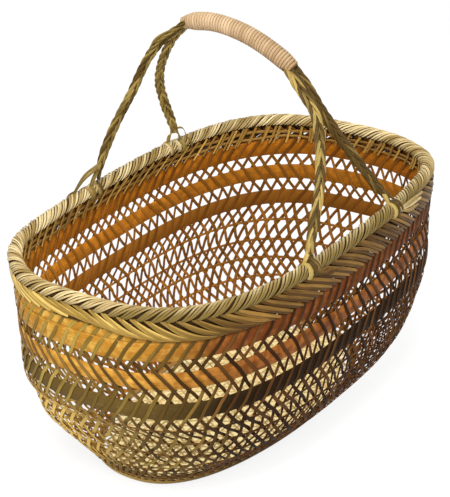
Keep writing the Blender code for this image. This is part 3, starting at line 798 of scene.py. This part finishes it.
# Bends of each leg from the top down, as shares of the way up from the foot in X, Y and Z.
LEG_SHARES = {
    "leg_a": (
        (0.902, 0.737, 0.862),
        (0.656, 0.469, 0.633),
        (0.410, 0.235, 0.404),
        (0.225, 0.126, 0.236),
        (0.061, 0.059, 0.087),
    ),
    "leg_b": (
        (0.911, 0.732, 0.835),
        (0.686, 0.441, 0.591),
        (0.485, 0.287, 0.404),
        (0.284, 0.219, 0.228),
        (0.117, 0.133, 0.087),
    ),
    "leg_c": (
        (0.885, 0.678, 0.822),
        (0.651, 0.386, 0.614),
        (0.482, 0.222, 0.441),
        (0.299, 0.149, 0.268),
        (0.117, 0.067, 0.107),
    ),
    "leg_d": (
        (0.903, 0.804, 0.787),
        (0.680, 0.620, 0.562),
        (0.456, 0.437, 0.354),
        (0.254, 0.217, 0.164),
        (0.091, 0.070, 0.055),
    ),
}
PLAIT_STRANDS = 8
PLAIT_PITCH = 0.0720
PLAIT_HALF_WIDTH = 0.0041
PLAIT_DEPTH = 0.0014
PLAIT_STRIP_SIZE = (0.0024, 0.0012)
BINDING_SIZE = (0.0024, 0.0008)
TAIL_SIZE = (0.0024, 0.0006)
# Dark strands that fill the plait's middle as painted shade between its strands: how far to the
# side each one runs.
PLAIT_SHADE_STRANDS = (-0.0021, 0.0, 0.0021)
# Along the rim from the leg, start angle, end angle, bulge and width of each branch of a foot.
FOOT_BRANCHES = {
    "leg_a": (
        (0.0210, 75, -60, 0.002, 2.0), (0.0030, 110, 250, 0.0, 1.5),
        (-0.0060, 110, 250, 0.001, 1.5),
    ),
    "leg_b": (
        (0.0030, 80, -60, 0.001, 1.6), (-0.0100, 115, 250, 0.001, 1.8),
        (-0.0190, 115, 235, 0.004, 0.8),
    ),
    "leg_c": (
        (-0.0045, 100, -60, 0.0, 1.6), (0.0005, 100, -70, 0.0, 1.6),
        (0.0050, 90, -60, 0.0, 1.5),
    ),
    "leg_d": (
        (-0.0045, 100, -60, 0.0, 1.6), (0.0, 100, -70, 0.0, 1.6),
        (0.0050, 90, -60, 0.0, 1.5),
    ),
}
# Point of each leg's path, from its end, where the plait stops and the strands part.
FOOT_SPLITS = {"leg_a": -11, "leg_b": -13, "leg_c": -4, "leg_d": -4}


def curve_through(controls, count):
    """Evenly spaced points on a smooth curve through the control points."""
    pins = np.array(controls, float)
    reached = run_along(pins)
    tangents = np.stack([np.gradient(pins[:, axis], reached) for axis in range(3)], -1)
    wanted = np.linspace(0, reached[-1], count)
    i = np.clip(np.searchsorted(reached, wanted) - 1, 0, len(reached) - 2)
    step = (reached[i + 1] - reached[i])[:, None]
    t = ((wanted - reached[i]) / (reached[i + 1] - reached[i]))[:, None]
    rise = t * t * (3 - 2 * t)
    bend = t * (1 - t) ** 2 * tangents[i] + t * t * (t - 1) * tangents[i + 1]
    return pins[i] * (1 - rise) + pins[i + 1] * rise + bend * step


def frames_on(points, hint):
    """Side and upper directions along a path."""
    hint = np.array(hint, float)
    forward = unit(np.gradient(points, axis=0))
    side = unit(hint - forward * (forward @ hint)[:, None])
    return side, np.cross(forward, side)


def grip_controls():
    """Control points of the grip's arch."""
    points = []
    for along, drop in zip(GRIP_ALONG_SHARES, GRIP_DROP_SHARES):
        y = GRIP_SHIFT_Y + along * GRIP_HALF_SPAN
        points.append((GRIP_SHIFT_X, y, GRIP_TOP_HEIGHT - drop * GRIP_DROP))
    return points


def rim_share(x, side):
    """Share of the girth at which the rim has a given X on one long side."""
    shares = ring_shares(TABLE_STEPS)
    ring = middle(shares, RIM_HEIGHT)
    return float(shares[int(np.argmin(np.abs(ring[:, 0] - x) + (ring[:, 1] * side < 0)))])


def leg_paths():
    """Middle line and rim share of each leg."""
    arch = curve_through(grip_controls(), 61)
    first, last = (int(round(60 * share)) for share in GRIP_CANE_RANGE)
    ends = {1: (arch[0], arch[first + 2]), -1: (arch[-1], arch[last - 2])}
    paths = {}
    for name, shares in LEG_SHARES.items():
        side = 1 if name in ("leg_a", "leg_b") else -1
        spread = -LEG_SPREAD if name in ("leg_a", "leg_c") else LEG_SPREAD
        end, inside = ends[side]
        top = end + np.array((spread * 0.9, 0, 0))
        share = rim_share(LEG_FOOT_SHARES[name] * MOUTH_HALF_LENGTH, side)
        foot = middle(share, RIM_HEIGHT) + (0, 0, 0.0075)
        between = [foot + (top - foot) * np.array(bend) for bend in shares]
        pins = np.array([top, *between, foot])
        pins += np.outer(LEG_NUDGES[name], PHOTO_RIGHT)
        share -= side * LEG_NUDGES[name][-1] / GIRTH
        start = inside + np.array((spread * 0.6, 0, 0))
        paths[name] = (share, curve_through([start, *pins], 120))
    return paths


def add_plait(lines, name, points):
    """Add a loose flat plait: each strand crosses over the middle and returns below it."""
    darkest, spread, flare = LEG_LIGHT_AND_LOOKS[name]
    side, over = frames_on(points, (0.85, -0.5, 0))
    run = run_along(points)
    phase = rng.random()
    drawn = 1 - 0.35 * smooth_step(run, run[-1] - 0.02, run[-1])
    drawn = drawn * (1 + flare * (1 - smooth_step(run, 0.030, 0.060)))
    for strand in range(PLAIT_STRANDS):
        start = (strand + 0.25 * rng.random()) / PLAIT_STRANDS
        turn = TURN * (run / PLAIT_PITCH + phase + start)
        zigzag = 2 / math.pi * np.arcsin(0.97 * np.sin(turn))
        across = PLAIT_HALF_WIDTH * zigzag * drawn * (1 + jitter(0.12))
        depth = PLAIT_DEPTH * np.sin(2 * turn) - 0.0003 * zigzag ** 2
        place = points + side * across[:, None] + over * depth[:, None]
        facing = over + side * (0.35 * np.cos(turn) + 0.25 * zigzag)[:, None]
        tone = darkest + spread * rng.random() ** 1.5
        lines.add(place, facing, tone=tone, wide=1 + jitter(0.2))
    for first, last, bulge in STRAYS.get(name, ()):
        picked = (run > first) & (run < last)
        along = (run[picked] - first) / (last - first)
        out = bulge * (0.5 + 0.5 * np.sin(math.pi * along))
        lines.add(points[picked] + side[picked] * out[:, None], over[picked], tone=0.6, wide=0.9)
    # Painted shade: the darkest strands down the plait's middle.
    for across in PLAIT_SHADE_STRANDS:
        lines.add(points + side * (across * drawn)[:, None], over, tone=-1.0, wide=0.9)
def add_foot(lines, name, share, path):
    """Add the strands of a leg that part and wrap round the rim roll."""
    darkest, spread, _ = LEG_LIGHT_AND_LOOKS[name]
    top = path[FOOT_SPLITS[name] - 4]
    leg_facing = np.array((-0.5, -0.85, 0.2))
    blend = np.linspace(0, 1, 8)[:, None]
    for reach, start, end, bulge, wide in FOOT_BRANCHES[name]:
        angle = np.radians(np.linspace(start, end, 14))
        drift = np.linspace(0, 0.25 * reach / GIRTH, 14)
        wrap, out = roll_points(share + reach / GIRTH + drift, angle, ROLL_RADIUS + 0.0017)
        sideways = unit(np.cross(unit(wrap[0] - top), leg_facing))
        if sideways @ (wrap[0] - path[-1]) <= 0:
            sideways = -sideways
        knee = top * 0.45 + wrap[0] * 0.55 + sideways * bulge + (0, 0, 0.001)
        upper = curve_through([top, knee, wrap[0]], 9)[:-1]
        facing = np.concatenate((leg_facing * (1 - blend) + out[:1] * blend, out))
        tone = darkest + spread * rng.random()
        lines.add(np.concatenate((upper, wrap)), facing, tone=tone, wide=wide)


# Length along the rim and end height of each loose end at a near leg's foot.
TAILS = {
    "leg_c": ((0.0200, 0.1935), (0.0240, 0.1900), (0.0170, 0.1965)),
    "leg_d": (
        (0.0340, 0.1975), (0.0420, 0.1950), (0.0300, 0.1925), (0.0460, 0.1985),
        (0.0380, 0.1910), (0.0500, 0.1965), (0.0260, 0.1990),
    ),
}


def tail_lines(name, share):
    """Loose ends of a lashing laid along the outside of the edging."""
    lines = Lines()
    t = np.linspace(0, 1, 10)
    for reach, low in TAILS[name]:
        place = share + (-0.002 + reach * t) / GIRTH
        height = 0.1990 + (low - 0.1990) * smooth_step(t, 0, 0.7)
        offset = 0.0066 + (0.0010 + 0.0028 * rng.random()) * t * t
        tone = -0.1 + 0.9 * rng.random()
        lines.lay(place, height, offset, tone=tone, wide=1.2 - 0.5 * t ** 3)
    return lines


def binding_lines(share):
    """Strips wound round the rim roll beside a leg's foot."""
    lines = Lines()
    angle = np.linspace(0, TURN, 25)[:-1]
    drift = 0.0012 * np.sin(angle) / GIRTH
    for place in (-0.0065, -0.0042, 0.0048, 0.0070):
        points, over = roll_points(share + place / GIRTH + drift, angle, ROLL_RADIUS + 0.0012)
        lines.add(points, over, closed=True)
    return lines


def grip_line(steps):
    """Points along the part of the arch that the cane covers."""
    whole = curve_through(grip_controls(), 400)
    spots = np.linspace(*GRIP_CANE_RANGE, steps) * 399
    return np.stack([np.interp(spots, np.arange(400), whole[:, axis]) for axis in range(3)], -1)


def grip_fullness(t):
    """Radius of the grip along its length, as a share of the full one."""
    return 1 - 0.34 * (1 - smooth_step(t, 0, 0.13)) - 0.14 * (1 - smooth_step(1 - t, 0, 0.10))


def winding_lines():
    """Cane wound round the grip in one unbroken helix."""
    lines = Lines()
    steps = GRIP_TURNS * 22
    centres = grip_line(steps)
    side, over = frames_on(centres, (1, 0, 0))
    angle = np.linspace(0, TURN * GRIP_TURNS, steps)
    spoke = side * np.cos(angle)[:, None] + over * np.sin(angle)[:, None]
    t = np.linspace(0, 1, steps)
    radius = (GRIP_CORE_RADIUS + GRIP_CANE_SIZE[1] / 2) * grip_fullness(t)
    shades = np.repeat(rng.random(GRIP_TURNS), steps // GRIP_TURNS)
    # Painted light and shade: the cane is lighter in the middle and darker towards its ends, most
    # at the last one.
    tone = np.interp(t, (0, 0.45, 1), (0.30, 0.52, 0.06)) + 0.28 * shades
    lines.add(centres + spoke * radius[:, None], spoke, tone=tone)
    return lines


def grip_core_lines():
    """Bundle of strips inside the grip."""
    lines = Lines()
    centres = grip_line(50)
    over = frames_on(centres, (1, 0, 0))[1]
    lines.add(centres, over, wide=grip_fullness(np.linspace(0, 1, 50)))
    return lines


make_piece(
    "grip_winding", winding_lines(), GRIP_CANE_SIZE, CANE, "cane_tan", "grip_cane",
    round_share=CANE_ROUND_SHARE)
make_piece(
    "grip_bundle", grip_core_lines(), GRIP_CORE_SIZE, LEG, "leg_olive", "grip_core",
    round_share=CORE_ROUND_SHARE)
for name, (share, path) in leg_paths().items():
    letter = name[-1]
    strands = Lines()
    add_plait(strands, name, path[:FOOT_SPLITS[name]])
    add_foot(strands, name, share, path)
    make_piece("plait_" + letter, strands, PLAIT_STRIP_SIZE, LEG, "leg_olive", name)
    binding = binding_lines(share)
    make_piece("binding_" + letter, binding, BINDING_SIZE, STRAW, "rim_straw", "lashing_" + letter)
    if name in TAILS:
        look = (STRAW, "rim_straw") if name == "leg_d" else (FLANK, "flank_straw")
        make_piece("loose_ends_" + letter, tail_lines(name, share), TAIL_SIZE, *look)

# The base

BASE_PITCH = 0.0086
BASE_STRIP_SIZE = (0.0018, 0.0005)
BASE_ROWS = 22
BASE_RIPPLE = 0.00035
FOOT_HOOP_SIZE = (0.0054, 0.0022)
UPPER_HOOP_HEIGHT = 0.0080
UPPER_HOOP_OFFSET = 0.0004
UPPER_HOOP_SIZE = (0.0018, 0.0012)
# Direction in degrees and height of each layer of strips.
BASE_LAYERS = ((0, 0.0011), (60, 0.0006), (-60, 0.0016))
# Height, offset and width of the two strips of the hoop that the basket stands on.
FOOT_HOOPS = ((0.0029, 0.0012, 1.0), (0.0026, -0.0024, 0.6))


def base_reach(place, heading, centre):
    """Where a straight line leaves the base's outline on both sides, or None."""
    t = np.linspace(-0.2, 0.2, 1601)
    points = place + t[:, None] * heading - centre
    ring = middle(ring_shares(400), 0.0)[:, :2] - centre
    bearings = np.arctan2(ring[:, 1], ring[:, 0])
    reaches = np.linalg.norm(ring, axis=1)
    edge = np.interp(np.arctan2(points[:, 1], points[:, 0]), bearings, reaches, period=TURN)
    inside = np.linalg.norm(points, axis=1) < edge - 0.0004
    if inside.sum() < 12:
        return None
    return t[inside][0], t[inside][-1]


def base_lines():
    """Straight strips in three directions across the base."""
    lines = Lines()
    centre = np.array(BASE_SHIFT)
    for degrees, height in BASE_LAYERS:
        turn = math.radians(degrees)
        heading = np.array((math.cos(turn), math.sin(turn)))
        sideways = np.array((-heading[1], heading[0]))
        for row in range(-BASE_ROWS, BASE_ROWS + 1):
            place = centre + sideways * BASE_PITCH * (row + jitter(0.1))
            reach = base_reach(place, heading, centre)
            if reach is None:
                continue
            t = np.linspace(*reach, max(6, int((reach[1] - reach[0]) / 0.006)))
            flat = place + t[:, None] * heading
            ripple = np.cos(TURN * t / (2 * BASE_PITCH) + row * math.pi)
            points = np.column_stack((flat, height + BASE_RIPPLE * ripple))
            lines.add(points, np.tile((0.0, 0.0, -1.0), (len(t), 1)))
    return lines


def foot_hoop_lines():
    """Smooth strips round the bottom edge."""
    lines = Lines()
    for height, offset, wide in FOOT_HOOPS:
        lines.lay(ring_shares(300), height, offset, closed=True, wide=wide)
    return lines


make_piece("base_strips", base_lines(), BASE_STRIP_SIZE, BASE, "base_olive", "base_lattice")
make_piece("foot_hoop", foot_hoop_lines(), FOOT_HOOP_SIZE, FOOT, "base_olive", "foot_ring")
upper_hoop = ring_lines(UPPER_HOOP_HEIGHT, UPPER_HOOP_OFFSET)
make_piece("foot_hoop_upper", upper_hoop, UPPER_HOOP_SIZE, HOOP, "base_olive")

# Camera, light and stage

YAW = math.radians(-53.96166511)
ELEVATION = math.radians(27.30580403)
ROLL = math.radians(-2.7597912)
# The camera was fitted in a length of its own, and is turned to metres here.
FIT_LENGTH = 0.2
TARGET = Vector((0, 0, RIM_HEIGHT - 0.4 * FIT_LENGTH))
DISTANCE = 7.34846395 * FIT_LENGTH
FOCAL_PIXELS = 1664.63641797
CENTRE_U = 233.01202444
CENTRE_V = 289.07775217
IMAGE_WIDTH = 450
IMAGE_HEIGHT = 497
SENSOR = 36


def make_camera():
    """Camera at the photograph's place."""
    back = Vector((
        math.sin(YAW) * math.cos(ELEVATION),
        -math.cos(YAW) * math.cos(ELEVATION),
        math.sin(ELEVATION),
    ))
    side = (-back).cross(Vector((0, 0, 1))).normalized()
    up = side.cross(-back)
    across = math.cos(ROLL) * side + math.sin(ROLL) * up
    above = -math.sin(ROLL) * side + math.cos(ROLL) * up
    data = bpy.data.cameras.new("camera")
    data.sensor_fit = "AUTO"
    data.sensor_width = SENSOR
    data.lens = FOCAL_PIXELS / IMAGE_HEIGHT * SENSOR
    data.shift_x = (IMAGE_WIDTH / 2 - CENTRE_U) / IMAGE_HEIGHT
    data.shift_y = (CENTRE_V - IMAGE_HEIGHT / 2) / IMAGE_HEIGHT
    data.clip_start = 0.05
    data.clip_end = 50
    camera = add_object("camera", data)
    turn = Matrix((across, above, back)).transposed()
    camera.matrix_world = Matrix.Translation(TARGET + back * DISTANCE) @ turn.to_4x4()
    bpy.context.scene.camera = camera


def area_light(name, place, target, size, power, colour=(1, 1, 1)):
    """Soft rectangular lamp aimed at a point."""
    data = bpy.data.lights.new(name, "AREA")
    data.size = size
    data.energy = power
    data.color = colour
    lamp = add_object(name, data)
    lamp.location = place
    aim = Vector(target) - Vector(place)
    lamp.rotation_euler = aim.to_track_quat("-Z", "Y").to_euler()
def seen(tree):
    """1 for the camera, for mirrors and through glass, and 0 for the light that bounces."""
    path = add_node(tree, "ShaderNodeLightPath").outputs
    mirror = maths(tree, "MAXIMUM", path["Is Camera Ray"], path["Is Glossy Ray"])
    return maths(tree, "MAXIMUM", mirror, path["Is Transmission Ray"])


def mix_shaders(tree, factor, first, second):
    """Output of a mix of two shader sockets."""
    inputs = {0: factor, 1: first, 2: second}
    return add_node(tree, "ShaderNodeMixShader", inputs).outputs[0]


def paper_material():
    """White paper that keeps part of the shadow, with a painted warm shadow and bounce light below
    the basket.
    """
    material = bpy.data.materials.new("paper")
    material.use_nodes = True
    tree = material.node_tree
    tree.nodes.clear()
    half_length = MOUTH_HALF_LENGTH * HALF_LENGTH_SHARES[0]
    half_width = MOUTH_HALF_WIDTH * HALF_WIDTH_SHARES[0]
    inputs = {
        "Vector": add_node(tree, "ShaderNodeTexCoord").outputs["Object"],
        "Scale": (1 / half_length, 1 / half_width, 0),
        "Location": (-BASE_SHIFT[0] / half_length, -BASE_SHIFT[1] / half_width, 0),
    }
    centred = add_node(tree, "ShaderNodeMapping", inputs).outputs["Vector"]
    reach = add_node(tree, "ShaderNodeVectorMath", {0: centred}, operation="LENGTH")
    outside = fade(tree, reach.outputs["Value"], *UNDER_SHADOW_EDGE)
    # Painted warm shadow and bounce light below the base, in both the lit and the glowing paper.
    tint = mix(tree, outside, UNDER_SHADOW_COLOUR, (1.0, 1.0, 1.0))
    matte = add_node(tree, "ShaderNodeBsdfDiffuse", {"Color": (0.8, 0.8, 0.8)}).outputs[0]
    lit = add_node(tree, "ShaderNodeBsdfDiffuse", {"Color": tint}).outputs[0]
    glow = add_node(tree, "ShaderNodeEmission", {"Color": tint}).outputs[0]
    faced = mix_shaders(tree, 1 - PAPER_SHADOW_SHARE, lit, glow)
    surface = mix_shaders(tree, seen(tree), matte, faced)
    add_node(tree, "ShaderNodeOutputMaterial", {"Surface": surface})
    return material


def make_stage():
    """Pale floor and a soft white surround."""
    mesh = bpy.data.meshes.new("floor")
    corners = [
        (x * FLOOR_REACH, y * FLOOR_REACH, FLOOR_HEIGHT)
        for x, y in ((-1, -1), (1, -1), (1, 1), (-1, 1))
    ]
    mesh.from_pydata(corners, [], [(0, 1, 2, 3)])
    mesh.materials.append(paper_material())
    floor = add_object("floor", mesh)
    world = bpy.data.worlds.new("surround")
    bpy.context.scene.world = world
    world.use_nodes = True
    tree = world.node_tree
    tree.nodes.clear()
    inputs = {"Color": (1.0, 0.99, 0.97), "Strength": SURROUND_STRENGTH}
    soft = add_node(tree, "ShaderNodeBackground", inputs).outputs[0]
    inputs = {"Color": (1.0, 1.0, 1.0), "Strength": 1.0}
    white = add_node(tree, "ShaderNodeBackground", inputs).outputs[0]
    surface = mix_shaders(tree, seen(tree), soft, white)
    add_node(tree, "ShaderNodeOutputWorld", {"Surface": surface})


# Painted warm shadow and bounce light on the paper below the base: its colour, and where it ends,
# in sizes of the base.
UNDER_SHADOW_COLOUR = (0.98, 0.80, 0.40)
UNDER_SHADOW_EDGE = (0.95, 1.04)
PAPER_SHADOW_SHARE = 0.16
FLOOR_REACH = 6
FLOOR_HEIGHT = -0.0006
SURROUND_STRENGTH = 0.5

make_camera()
make_stage()
area_light("key", (-1.25, -0.75, 1.9), (0, 0, 0.12), 0.7, 48, (1.0, 0.98, 0.94))
area_light("front", (-0.35, -1.7, 1.6), (0, 0.05, 0.08), 0.9, 21, (1.0, 0.98, 0.95))
area_light("left", (-1.9, 0.1, 0.45), (-0.1, 0, 0.08), 0.8, 14, (1.0, 0.98, 0.95))
area_light("top", (0.25, 0.5, 1.9), (0, 0, 0.05), 0.9, 10)
bpy.context.scene.view_settings.view_transform = "Standard"
